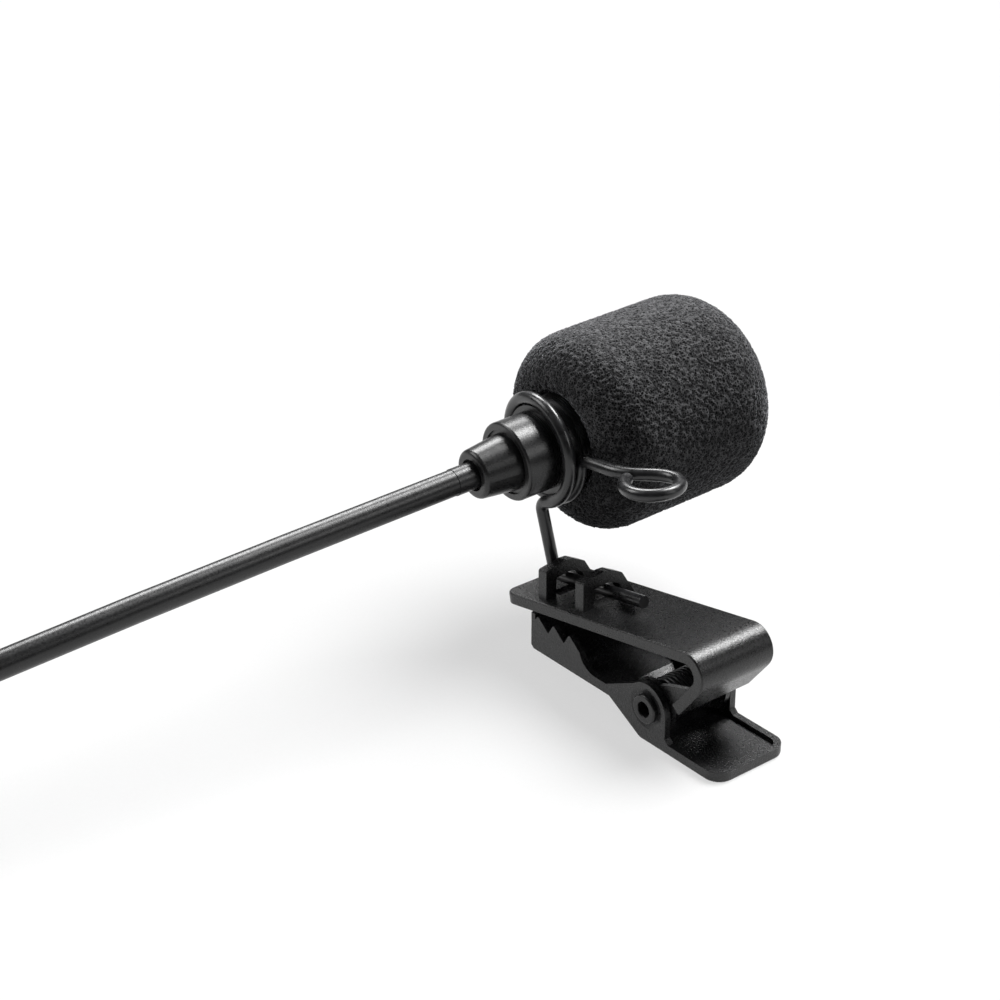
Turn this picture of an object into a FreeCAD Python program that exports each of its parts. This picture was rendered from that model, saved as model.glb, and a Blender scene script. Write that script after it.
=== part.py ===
"""Lavalier microphone with foam windscreen, wire holder and spring clip.

Frame: origin on the surface the clip stands on, straight under the pivot of the clip's jaw and
on the clip's mid-plane. +Z is up, +X runs along the clip from its mouth to its thumb pad, and
+Y points the way the microphone faces. Lengths are in millimetres and angles in degrees.
"""

import FreeCAD, Part
import math
import os

V = FreeCAD.Vector
X_AXIS = V(1, 0, 0)
Y_AXIS = V(0, 1, 0)
Z_AXIS = V(0, 0, 1)
ORIGIN = V(0, 0, 0)
TOUCH = 0.001  # closer than this counts as touching

# --- clip plate: top jaw, a strip of sheet metal bent into a J ---
CLIP_W = 9.1  # width of plate and jaw
PLATE_T = 1.22  # sheet thickness
PLATE_PITCH = 10.9  # the plate climbs towards the bend
PLATE_FRONT = (-21.12, 6.99)  # front edge of the upper face, x and z
PLATE_RUN = 26.1  # flat length of the upper face
PLATE_CORNER_R = 1.3  # front corners in plan
BEND_R = 2.33  # outer radius of the rear bend
BEND_TURN = 138.0
LIP_LEN = 3.98  # straight lip after the bend
EDGE_R = 0.18  # broken edges of the sheet metal

# --- bridges over the plate that hold the wire's tail ---
BRIDGE_X = (-16.2, -10.7)
BRIDGE_W = 1.2
BRIDGE_OUTER = ((-3.75, 0.0), (-3.25, 2.85), (-0.6, 3.2), (0.2, 3.15), (1.6, 2.45), (3.1, 0.0))
BRIDGE_INNER = ((2.05, 0.0), (1.1, 1.45), (0.5, 1.75), (-0.3, 2.0), (-2.1, 1.8), (-2.45, 0.0))
BRIDGE_SUNK = 0.4  # the feet reach this far into the sheet
BRIDGE_EDGE_R = 0.3
WINDOW_HALF_Y = 2.0
WINDOW_W = 1.5

# --- jaw: channel with toothed side walls, ears at the pivot and a thumb pad ---
PIVOT_Z = 3.65
WALL = 0.7
FLOOR_T = 0.65
FRONT_X = -16.8
FRONT_FLANGE = 0.55
FRONT_GAP = 0.06  # from the front flange to the plate
JAW_FRONT_Z = 2.55  # underside of the front half
SLOPE_START_X = -5.2
FOOT_START_X = -0.5
REAR_X = 9.86
RIM_Z = 1.08
PAD_CORNER_R = 1.7
TOOTH_TIP_Z = 6.35
TOOTH_VALLEY_Z = 5.2
TOOTH_PITCH = 2.35
TOOTH_RISE = 0.8  # length of the steep flank
FIRST_TIP_X = -15.8
TOOTH_COUNT = 3
TOOTH_LAND = 0.1  # half width of a tooth's flat tip
FRONT_LAND = 0.45  # the front corner stands this far below the teeth
FRONT_CHAMFER = 0.35
SADDLE_Z = 3.6  # lowest point of the dip between teeth and ears
SADDLE_X = (-7.2, -5.7)  # flat bottom of the dip
SADDLE_R = (2.4, 2.05)  # along x and z
SADDLE_TURN = 78.0
SADDLE_STEPS = 8
EAR_R = 2.62
EAR_FRONT = (-1.15, 5.9)  # where the wall meets the ear, x and z
EAR_BACK_X = 2.65
EAR_FOOT = (3.1, 1.5)  # x on the rim and z on the ear's back edge
UNDER_EDGE_R = 0.25
DIMPLE_R = 2.1
DIMPLE_SLOPE = 0.5  # loss of radius over its depth
DIMPLE_DEPTH = 0.16

# --- pivot rivet and spring ---
RIVET_R = 1.15
RIVET_BORE_R = 0.78
RIVET_HEAD_R = 1.48
RIVET_HEAD_T = 0.5
RIVET_HEAD_GAP = 0.02  # head to the bottom of the jaw's dimple
RIVET_ROLL_R = (0.2, 0.1)  # outer and inner rim of a head
RUNNING_CLEARANCE = 0.05
INNER_EAR_R = 2.72
INNER_EAR_T = 0.55
INNER_EAR_GAP = 0.1
INNER_EAR_WEB = ((0.2, 0.0), (0.2, 2.35), (1.9, 3.1))  # x and height over the pivot, below and before the lip
INNER_EAR_HEEL = (2.05, -1.1)
LIP_OVERLAP = ((0.25, 0.0), (0.55, -0.4))  # the web's reach past the lip's middle and its end
LIP_SHARE = 0.35  # of the lip, from the bend, where the web meets it
SPRING_WIRE_R = 0.23
SPRING_R = 1.95  # middle of the wire
SPRING_TURNS = 8
SPRING_STEPS_PER_TURN = 12
SPRING_EXTRA_STEPS = 7
SPRING_START_DEG = -115.0
SPRING_PITCH = 0.5
SPRING_START_Y = -2.2
SPRING_LOWER_X = -3.0  # the lower leg presses on the jaw's sloping floor here
SPRING_CLEARANCE = 0.05
SPRING_HOOK = ((2.3, 6.5), (3.25, 6.75))  # x and z where the upper leg runs and hooks behind the lip
SPRING_HOOK_LEN = 3.2

# --- wire holder: one length of round spring wire ---
WIRE_R = 0.625
TAIL_HEIGHT = 0.95  # wire centre above the plate's upper face
TAIL_END_X = -5.6
TAIL_BEND_X = -18.6
RING_R = 5.25  # middle of the wire
RING_START_S = 3.45
RING_PITCH = 1.35
RING_START_DEG = 7.0  # from the lowest point, towards +X
RING_STEPS = 20
RING_STEP_DEG = 22.5
WIRE_BEND_R = 1.35
RING_BEND_R = 1.08  # where the leg and the arm leave the ring
EYE_R = 2.5
EYE_CENTRE = V(-5.5, 0.62, 23.2)
EYE_NECK = 4.5  # from the eye's centre back to where the arm leaves its line
EYE_VERTEX_STEP = 40.0
EYE_ARC_SHARE = 0.48  # of the shorter run, taken up by an arc
EYE_VERTICES = ((118, 1.0), (78, 1.0), (38, 1.0), (-2, 1.0), (-42, 1.0), (-82, 1.0), (-122, 1.02),
                (-152, 1.12), (-171, 1.2))  # turn from the arm's line, and distance in eye radii

# --- microphone, along its own axis s from the barrel's rear face ---
MIC_FACE = V(-21.3, -4.2, 21.0)
MIC_PITCH = 3.45
MIC_YAW = 2.9
BODY_R = 4.0
NECK_R = 4.55
COLLAR_R = 4.8
BARREL_BORE_R = 3.3
RIB_S = (3.05, 3.3, 3.55)
RIB_GROOVE_W = 0.12
RIB_GROOVE_DEPTH = 0.14
NECK_START_S = 3.85
COLLAR_START_S = 5.9
COLLAR_END_S = 7.1
COLLAR_GROOVE_S = (6.15, 6.42, 6.7)
HEAD_END_S = 15.6
GRILLE_END_S = 17.0
BOOT_LEN = 4.0
BOOT_END_R = 2.45
BOOT_BASE_R = 2.9
BOOT_EDGE_R = 0.45
BOOT_RECESS_R = 1.62
GROMMET_R = 1.9
BOOT_INSET = 0.5  # the cable's entry lies this deep in the boot
BOOT_FLANGE_R = 2.6
BOOT_FLANGE_T = 0.6
BARREL_EDGE_R = 0.25
BARREL_RELIEF_W = 0.38  # fine ring recess round the boot in the rear face
BARREL_RELIEF_DEPTH = 0.22
REAR_WALL = 1.2
SLEEVE_LEN = 2.2
SLEEVE_R = 1.36
STUB_END_S = 2.4
CRIMP_R = 1.9
CRIMP_GAP = 0.05
HEAD_SPIGOT_S = 4.9
HEAD_SPIGOT_R = 2.75  # bore of the spigot
HEAD_SPIGOT_DEPTH = 1.0
HEAD_BORE_R = 3.1
GRILLE_FACE_T = 0.5
GRILLE_BORE_R = 3.4
GRILLE_EDGE_R = 0.4
GRILLE_RINGS = ((0.0, 1), (1.2, 6), (2.4, 12))
GRILLE_HOLE_R = 0.36
MESH_R = 3.35
MESH_T = 0.2
GASKET_GAP = 0.05
GASKET_T = 0.8
GASKET_R = (3.05, 2.0)
CAPSULE_R = 3.0
CAPSULE_SPAN = (11.0, 15.4)
CAPSULE_EDGE_R = 0.3
CAPSULE_PORT_R = 1.0
CAPSULE_PORT_DEPTH = 0.4
BOARD_R = 2.7
BOARD_T = 0.8
LEAD_WIRE_R = 0.3
LEAD_WIRE_X = 0.7

# --- foam windscreen ---
FOAM_R = 10.25
FOAM_BACK_S = 6.25
FOAM_FRONT_S = 27.9
FOAM_BACK_ROUND = 4.0
FOAM_FRONT_ROUND = 5.5
FOAM_MOUTH_S = 7.2
FOAM_MOUTH_R = 5.05
FOAM_BORE_R = 4.06
FOAM_BORE_END_S = 17.6

# --- cable and plug ---
CABLE_D = 2.64
CABLE_R = CABLE_D / 2
STRAIGHT_END_S = -66.0
CABLE_ROUTE = (V(-26.4, -95.0, 10.4), V(-28.8, -116.5, 4.5), V(-31.0, -135.0, 2.0), V(-31.6, -151.0, 1.72))
COIL_R = 15.5
COIL_TURNS_WIDE = 3
COIL_LAYERS = 4
COIL_EDGE_R = 1.1
TIE_DEG = 250.0
TIE_W = 5.0
TIE_T = 0.4
# corners of the lead: x and y from where it leaves the coil, and height
LEAD_STEPS = ((0.0, 10.5, 9.6), (-0.7, 20.0, 6.3), (-2.2, 28.0, 3.9), (-3.6, 34.4, 3.6))
PLUG_RELIEF_LEN = 9.0
PLUG_RELIEF_R = (1.75, 2.7)
PLUG_GROOVE_COUNT = 4
PLUG_GROOVE_START = 1.4
PLUG_GROOVE_W = 0.8
PLUG_GROOVE_PITCH = 1.8
PLUG_GROOVE_R = 1.55
PLUG_BARREL_R = 3.6
PLUG_BARREL_LEN = 19.0
PLUG_BARREL_EDGE_R = 0.6
PIN_R = 1.75  # 3.5 mm jack
PIN_SPANS = (("plug_sleeve", 0.0, 6.6), ("plug_sleeve_insulator", 6.6, 7.3), ("plug_ring", 7.3, 9.7),
             ("plug_ring_insulator", 9.7, 10.4))
TIP_PROFILE = ((10.4, 1.75), (10.9, 1.75), (11.6, 1.1), (12.0, 1.1), (12.6, 1.55), (13.6, 0.75),
               (14.0, 0.4))  # distance along the pin, and radius

parts = {}


def emit(name, shape):
    """Checks one sub-part and keeps it under its node name."""
    if not shape.isValid() or len(shape.Solids) != 1:
        print("CHECK", name, "valid", shape.isValid(), "solids", len(shape.Solids))
    parts[name] = shape.Solids[0] if len(shape.Solids) == 1 else shape


def polygon_face(points):
    """Flat face through the given points."""
    return Part.Face(Part.makePolygon(list(points) + [points[0]]))


def side_prism(outline_xz, y0, y1):
    """Solid from an outline in x and z, between two y positions."""
    face = polygon_face([V(x, y0, z) for x, z in outline_xz])
    return face.extrude(V(0, y1 - y0, 0))


def turned(profile):
    """Solid of revolution about Y from (s, r) pairs; r = 0 points close it on the axis."""
    face = polygon_face([V(r, s, 0) for s, r in profile])
    return face.revolve(ORIGIN, Y_AXIS, 360)


def tube(s0, s1, r_out, r_in=0.0):
    """Straight disc along Y, or a ring when it has a bore."""
    solid = Part.makeCylinder(r_out, s1 - s0, V(0, s0, 0), Y_AXIS)
    if r_in:
        solid = solid.cut(Part.makeCylinder(r_in, s1 - s0, V(0, s0, 0), Y_AXIS))
    return solid


def round_edges(solid, chooser, radius):
    """Fillets the edges for which chooser(edge) is true."""
    edges = [e for e in solid.Edges if chooser(e)]
    return solid.makeFillet(radius, edges)


def circle_at(edge, s, r):
    """True for a full circle of radius r around the Y axis at height s."""
    if not isinstance(edge.Curve, Part.Circle):
        return False
    centre = edge.Curve.Center
    return abs(edge.Curve.Radius - r) < 1e-4 and abs(centre.y - s) < 1e-4


def in_mic_frame(shape):
    """Moves a solid made along +Y from the origin onto the microphone's axis."""
    shape = shape.copy()
    shape.rotate(ORIGIN, X_AXIS, MIC_PITCH)
    shape.rotate(ORIGIN, Z_AXIS, -MIC_YAW)
    shape.translate(MIC_FACE)
    return shape


def mic_point(x, s, z):
    """A point given across, along and above the microphone's axis."""
    turn = FreeCAD.Rotation(Z_AXIS, -MIC_YAW).multiply(FreeCAD.Rotation(X_AXIS, MIC_PITCH))
    return MIC_FACE + turn.multVec(V(x, s, z))


def plate_top_z(x):
    """Height of the plate's upper face at x."""
    return PLATE_FRONT[1] + (x - PLATE_FRONT[0]) * math.tan(math.radians(PLATE_PITCH))


def plate_underside_z(x):
    """Height of the plate's lower face at x."""
    return plate_top_z(x) - PLATE_T / math.cos(math.radians(PLATE_PITCH))


def rounded_path(points, radii, share=0.45):
    """Straight runs joined by tangent arcs; a radius of None takes the largest that fits."""
    edges = []
    start = points[0]
    for i in range(1, len(points) - 1):
        corner = points[i]
        back = points[i - 1].sub(corner)
        ahead = points[i + 1].sub(corner)
        half_turn = (math.pi - back.getAngle(ahead)) / 2
        shorter = min(back.Length, ahead.Length)
        radius = radii[i - 1] or share * shorter / math.tan(half_turn)
        set_back = radius * math.tan(half_turn)
        a = corner.add(back.normalize().multiply(set_back))
        b = corner.add(ahead.normalize().multiply(set_back))
        bisector = back.add(ahead).normalize()
        middle = corner.add(bisector.multiply(radius / math.cos(half_turn) - radius))
        edges.append(Part.LineSegment(start, a).toShape())
        edges.append(Part.Arc(a, middle, b).toShape())
        start = b
    edges.append(Part.LineSegment(start, points[-1]).toShape())
    return Part.Wire(edges)


def swept_wire(path, start, direction, radius):
    """Round wire of the given radius along a path."""
    ring = Part.Wire(Part.makeCircle(radius, start, direction))
    return path.makePipeShell([ring], True, False)


# ---------------------------------------------------------------- clip plate

def plate_profile():
    """Outline of the J in x and z, as edges: upper face, bend, lip, and back on the inside."""
    pitch = math.radians(PLATE_PITCH)
    along = V(math.cos(pitch), 0, math.sin(pitch))
    up = V(-math.sin(pitch), 0, math.cos(pitch))
    front = V(PLATE_FRONT[0], 0, PLATE_FRONT[1])
    bend_start = front + along * PLATE_RUN
    centre = bend_start - up * BEND_R

    def on_bend(radius, turn):
        angle = math.radians(90 + PLATE_PITCH - turn)
        return centre + V(math.cos(angle), 0, math.sin(angle)) * radius

    lip_angle = math.radians(PLATE_PITCH - BEND_TURN)
    lip = V(math.cos(lip_angle), 0, math.sin(lip_angle)) * LIP_LEN
    inner = BEND_R - PLATE_T
    outer_end = on_bend(BEND_R, BEND_TURN)
    inner_end = on_bend(inner, BEND_TURN)
    edges = [
        Part.LineSegment(front, bend_start),
        Part.Arc(bend_start, on_bend(BEND_R, BEND_TURN / 2), outer_end),
        Part.LineSegment(outer_end, outer_end + lip),
        Part.LineSegment(outer_end + lip, inner_end + lip),
        Part.LineSegment(inner_end + lip, inner_end),
        Part.Arc(inner_end, on_bend(inner, BEND_TURN / 2), on_bend(inner, 0)),
        Part.LineSegment(on_bend(inner, 0), front - up * PLATE_T),
        Part.LineSegment(front - up * PLATE_T, front),
    ]
    return Part.Wire([e.toShape() for e in edges]), inner_end + lip, inner_end


def bridge(x):
    """One bridge across the plate, its feet sunk into the sheet."""
    x0 = x - BRIDGE_W / 2
    outline = BRIDGE_OUTER + BRIDGE_INNER
    face = polygon_face([V(x0, y, z if z else -BRIDGE_SUNK) for y, z in outline])
    solid = face.extrude(V(BRIDGE_W, 0, 0))
    crown = max(z for y, z in BRIDGE_INNER)
    tops = [e for e in solid.Edges if e.BoundBox.XLength > BRIDGE_W / 2 and e.BoundBox.ZMin > crown]
    solid = solid.makeFillet(BRIDGE_EDGE_R, tops)
    solid.rotate(V(x, 0, 0), Y_AXIS, -PLATE_PITCH)
    solid.translate(V(0, 0, plate_top_z(x)))
    return solid


def window(x):
    """Slot through the sheet under a bridge."""
    corner = V(-WINDOW_W / 2, -WINDOW_HALF_Y, -2 * PLATE_T)
    box = Part.makeBox(WINDOW_W, 2 * WINDOW_HALF_Y, 4 * PLATE_T, corner)
    box.rotate(ORIGIN, Y_AXIS, -PLATE_PITCH)
    box.translate(V(x, 0, plate_top_z(x)))
    return box


def inner_ear(y0, lip_end, lip_top):
    """Ear that carries the plate on the rivet, joined to the lip."""
    disc = Part.makeCylinder(INNER_EAR_R, INNER_EAR_T, V(0, y0, PIVOT_Z), Y_AXIS)
    reach = lip_top + (lip_end - lip_top) * LIP_SHARE
    outline = [(x, PIVOT_Z + z) for x, z in INNER_EAR_WEB]
    for place, (past_x, past_z) in zip((reach, lip_end), LIP_OVERLAP):
        outline.append((place.x + past_x, place.z + past_z))
    outline.append((INNER_EAR_HEEL[0], PIVOT_Z + INNER_EAR_HEEL[1]))
    return disc.fuse(side_prism(outline, y0, y0 + INNER_EAR_T))


def clip_plate():
    """Sheet bent into a J, with bridges for the wire's tail and two ears on the rivet."""
    wire, lip_end, lip_top = plate_profile()
    sheet = Part.Face(wire).extrude(V(0, CLIP_W, 0))
    sheet.translate(V(0, -CLIP_W / 2, 0))
    flat = [e for e in sheet.Edges if e.BoundBox.YLength < TOUCH]
    front = [e for e in flat if e.BoundBox.XMax < PLATE_FRONT[0] + PLATE_T]
    sheet = sheet.makeFillet(PLATE_CORNER_R, front)
    long_edges = [e for e in sheet.Edges if e.BoundBox.YLength < TOUCH and e.Length > 2 * PLATE_T]
    sheet = sheet.makeFillet(EDGE_R, long_edges)
    for x in BRIDGE_X:
        sheet = sheet.cut(window(x))
        sheet = sheet.fuse(bridge(x))
    ear_y = CLIP_W / 2 - WALL - INNER_EAR_GAP - INNER_EAR_T
    ears = [inner_ear(y, lip_end, lip_top) for y in (ear_y, -ear_y - INNER_EAR_T)]
    sheet = sheet.fuse(ears)
    hole = Part.makeCylinder(RIVET_R + RUNNING_CLEARANCE, CLIP_W, V(0, -CLIP_W / 2, PIVOT_Z), Y_AXIS)
    return sheet.cut(hole)


# ---------------------------------------------------------------- jaw

def jaw_outline():
    """Side view of the channel's wall in x and z, without the ear."""
    flange_top = plate_underside_z(FRONT_X) - FRONT_GAP
    dip_x, dip_end_x = SADDLE_X
    foot_x, foot_z = EAR_FOOT
    points = [(FRONT_X + FRONT_CHAMFER, JAW_FRONT_Z), (SLOPE_START_X, JAW_FRONT_Z), (FOOT_START_X, 0.0),
              (REAR_X, 0.0), (REAR_X, RIM_Z), (foot_x, RIM_Z), (EAR_BACK_X, foot_z),
              (EAR_BACK_X, PIVOT_Z), (0.0, PIVOT_Z), EAR_FRONT, (dip_end_x, SADDLE_Z)]
    for i in range(SADDLE_STEPS + 1):
        angle = math.radians(270 - SADDLE_TURN * i / SADDLE_STEPS)
        points.append((dip_x + SADDLE_R[0] * math.cos(angle), SADDLE_Z + SADDLE_R[1] * (1 + math.sin(angle))))
    for tooth in reversed(range(TOOTH_COUNT)):
        tip = FIRST_TIP_X + TOOTH_PITCH * tooth
        points.append((tip + TOOTH_LAND, TOOTH_TIP_Z))
        points.append((tip - TOOTH_LAND, TOOTH_TIP_Z))
        if tooth:
            points.append((tip - TOOTH_RISE, TOOTH_VALLEY_Z))
    points.append((FRONT_X + FRONT_FLANGE, TOOTH_TIP_Z - FRONT_LAND))
    points.append((FRONT_X + FRONT_FLANGE, flange_top))
    points.append((FRONT_X, flange_top))
    points.append((FRONT_X, JAW_FRONT_Z + FRONT_CHAMFER))
    return points


def upright_edges(solid, x):
    """Vertical edges lying at x."""
    return [e for e in solid.Edges if abs(e.BoundBox.XMin - x) < TOUCH and e.BoundBox.XLength < TOUCH
            and e.BoundBox.YLength < TOUCH]


def jaw_cavity():
    """Space inside the channel, open at the top."""
    slope = math.atan2(JAW_FRONT_Z, FOOT_START_X - SLOPE_START_X)
    shift = FLOOR_T * math.tan(slope / 2)
    front = FRONT_X + FRONT_FLANGE
    front_floor = JAW_FRONT_Z + FLOOR_T
    top = 2 * TOOTH_TIP_Z
    outline = [(front, front_floor), (SLOPE_START_X + shift, front_floor), (FOOT_START_X + shift, FLOOR_T),
               (REAR_X - WALL, FLOOR_T), (REAR_X - WALL, top), (front, top)]
    cavity = side_prism(outline, -CLIP_W / 2 + WALL, CLIP_W / 2 - WALL)
    return cavity.makeFillet(PAD_CORNER_R - WALL, upright_edges(cavity, REAR_X - WALL))


def clip_jaw():
    """Channel with toothed walls in front, ears at the pivot and a shallow thumb pad behind."""
    half = CLIP_W / 2
    body = side_prism(jaw_outline(), -half, half)
    ear = Part.makeCylinder(EAR_R, CLIP_W, V(0, -half, PIVOT_Z), Y_AXIS)
    body = body.fuse(ear).removeSplitter()
    body = body.makeFillet(PAD_CORNER_R, upright_edges(body, REAR_X))
    jaw = body.cut(jaw_cavity())
    for side in (-1, 1):
        rim = V(0, side * half, PIVOT_Z)
        jaw = jaw.cut(Part.makeCone(DIMPLE_R, DIMPLE_R - DIMPLE_SLOPE, DIMPLE_DEPTH, rim, V(0, -side, 0)))
    jaw = jaw.cut(Part.makeCylinder(RIVET_R, CLIP_W, V(0, -half, PIVOT_Z), Y_AXIS))
    under = [e for e in jaw.Edges if e.BoundBox.ZMax < TOUCH]
    return jaw.makeFillet(UNDER_EDGE_R, under)


def pivot_rivet():
    """Hollow rivet with a rolled head on each side."""
    half = CLIP_W / 2 - DIMPLE_DEPTH + RIVET_HEAD_GAP
    end = half + RIVET_HEAD_T
    rivet = tube(-end, end, RIVET_R)
    rivet = rivet.fuse([tube(-end, -half, RIVET_HEAD_R), tube(half, end, RIVET_HEAD_R)]).removeSplitter()
    for r, roll in zip((RIVET_HEAD_R, RIVET_BORE_R), RIVET_ROLL_R):
        if r == RIVET_BORE_R:
            rivet = rivet.cut(tube(-end, end, r))
        rivet = round_edges(rivet, lambda e: circle_at(e, -end, r) or circle_at(e, end, r), roll)
    rivet.translate(V(0, 0, PIVOT_Z))
    return rivet


def slope_floor_z(x):
    """Height of the jaw's sloping inner floor at x."""
    slope = JAW_FRONT_Z / (FOOT_START_X - SLOPE_START_X)
    half = math.atan(slope) / 2
    return FLOOR_T + (FOOT_START_X + FLOOR_T * math.tan(half) - x) * slope


def torsion_spring():
    """Wound wire round the rivet; one leg bears on the jaw, the other hooks behind the lip."""
    steps = SPRING_TURNS * SPRING_STEPS_PER_TURN + SPRING_EXTRA_STEPS
    vertex_r = SPRING_R / math.cos(math.pi / SPRING_STEPS_PER_TURN)
    slope = math.atan2(JAW_FRONT_Z, FOOT_START_X - SLOPE_START_X)
    lift = (SPRING_WIRE_R + SPRING_CLEARANCE) / math.cos(slope)
    points = [V(SPRING_LOWER_X, SPRING_START_Y, slope_floor_z(SPRING_LOWER_X) + lift)]
    for i in range(steps + 1):
        turns = i / SPRING_STEPS_PER_TURN
        angle = math.radians(SPRING_START_DEG + 360 * turns)
        y = SPRING_START_Y + SPRING_PITCH * turns
        points.append(V(vertex_r * math.cos(angle), y, PIVOT_Z + vertex_r * math.sin(angle)))
    (run_x, run_z), (hook_x, hook_z) = SPRING_HOOK
    points.append(V(run_x, y, run_z))
    points.append(V(hook_x, y, hook_z))
    points.append(V(hook_x, y - SPRING_HOOK_LEN, hook_z))
    path = rounded_path(points, [None] * (len(points) - 2))
    return swept_wire(path, points[0], points[1] - points[0], SPRING_WIRE_R)


# ---------------------------------------------------------------- wire holder

def wire_holder():
    """Tail, leg, ring round the neck, arm and finger eye, all one bent wire."""
    lift = TAIL_HEIGHT / math.cos(math.radians(PLATE_PITCH))
    tail_end = V(TAIL_END_X, 0, plate_top_z(TAIL_END_X) + lift)
    tail_bend = V(TAIL_BEND_X, 0, plate_top_z(TAIL_BEND_X) + lift)
    points = [tail_end, tail_bend]
    vertex_r = RING_R / math.cos(math.radians(RING_STEP_DEG / 2))
    for i in range(RING_STEPS + 1):
        degrees = RING_START_DEG + RING_STEP_DEG * i
        angle = math.radians(degrees)
        s = RING_START_S + RING_PITCH * degrees / 360
        points.append(mic_point(vertex_r * math.sin(angle), s, -vertex_r * math.cos(angle)))
    radii = [WIRE_BEND_R, RING_BEND_R] + [None] * (RING_STEPS - 1) + [RING_BEND_R]
    radii += [None] * (len(EYE_VERTICES))
    arm = (EYE_CENTRE - points[-1]).normalize()
    across = Z_AXIS.cross(arm).normalize()
    points.append(EYE_CENTRE - arm * EYE_NECK)
    eye_r = EYE_R / math.cos(math.radians(EYE_VERTEX_STEP / 2))
    for degrees, stretch in EYE_VERTICES:
        angle = math.radians(degrees)
        out = eye_r * stretch
        points.append(EYE_CENTRE + arm * (out * math.cos(angle)) + across * (out * math.sin(angle)))
    path = rounded_path(points, radii, EYE_ARC_SHARE)
    return swept_wire(path, tail_end, tail_bend - tail_end, WIRE_R)


# ---------------------------------------------------------------- microphone

def grooved(solid, positions, r):
    """Cuts fine ring grooves into a turned part of radius r."""
    for s in positions:
        solid = solid.cut(tube(s, s + RIB_GROOVE_W, 2 * r, r - RIB_GROOVE_DEPTH))
    return solid


def mic_barrel():
    """Rear barrel: thin wall with a stepped neck, a rear wall and the boot's hole."""
    solid = turned([(0, GROMMET_R), (0, BODY_R), (NECK_START_S, BODY_R), (NECK_START_S, NECK_R),
                    (COLLAR_START_S, NECK_R), (COLLAR_START_S, BARREL_BORE_R), (REAR_WALL, BARREL_BORE_R),
                    (REAR_WALL, GROMMET_R)])
    solid = round_edges(solid, lambda e: circle_at(e, 0, BODY_R), BARREL_EDGE_R)
    solid = solid.cut(tube(0, BARREL_RELIEF_DEPTH, BOOT_BASE_R + BARREL_RELIEF_W, BOOT_BASE_R))
    return grooved(solid, RIB_S, BODY_R)


def collar_ring():
    """Grooved ring between the barrel and the head."""
    return grooved(tube(COLLAR_START_S, COLLAR_END_S, COLLAR_R, BARREL_BORE_R), COLLAR_GROOVE_S, COLLAR_R)


def head_tube():
    """Head under the foam, with a spigot that plugs into the barrel."""
    step_s = COLLAR_END_S + HEAD_SPIGOT_DEPTH
    return turned([(HEAD_SPIGOT_S, HEAD_SPIGOT_R), (HEAD_SPIGOT_S, BARREL_BORE_R),
                   (COLLAR_END_S, BARREL_BORE_R), (COLLAR_END_S, BODY_R), (HEAD_END_S, BODY_R),
                   (HEAD_END_S, HEAD_BORE_R), (step_s, HEAD_BORE_R), (step_s, HEAD_SPIGOT_R)])


def grille_cap():
    """Cup with rings of sound holes in its face."""
    inside_s = GRILLE_END_S - GRILLE_FACE_T
    cup = tube(HEAD_END_S, GRILLE_END_S, BODY_R)
    cup = round_edges(cup, lambda e: circle_at(e, GRILLE_END_S, BODY_R), GRILLE_EDGE_R)
    cup = cup.cut(tube(HEAD_END_S, inside_s, GRILLE_BORE_R))
    for r, count in GRILLE_RINGS:
        for i in range(count):
            angle = 2 * math.pi * i / count
            base = V(r * math.cos(angle), inside_s, r * math.sin(angle))
            cup = cup.cut(Part.makeCylinder(GRILLE_HOLE_R, GRILLE_FACE_T, base, Y_AXIS))
    return cup


def electret_capsule():
    """Capsule can with its sound port."""
    start, end = CAPSULE_SPAN
    can = tube(start, end, CAPSULE_R)
    can = round_edges(can, lambda e: circle_at(e, end, CAPSULE_R), CAPSULE_EDGE_R)
    return can.cut(tube(end - CAPSULE_PORT_DEPTH, end, CAPSULE_PORT_R))


def strain_relief_boot():
    """Tapered boot, held by a flange behind the barrel's rear wall."""
    entry = BOOT_INSET - BOOT_LEN
    flange_end = REAR_WALL + BOOT_FLANGE_T
    profile = [(entry, CABLE_R), (entry, BOOT_RECESS_R), (-BOOT_LEN, BOOT_RECESS_R),
               (-BOOT_LEN, BOOT_END_R), (0, BOOT_BASE_R), (0, GROMMET_R), (REAR_WALL, GROMMET_R),
               (REAR_WALL, BOOT_FLANGE_R), (flange_end, BOOT_FLANGE_R), (flange_end, CABLE_R)]
    return round_edges(turned(profile), lambda e: circle_at(e, -BOOT_LEN, BOOT_END_R), BOOT_EDGE_R)


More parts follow.
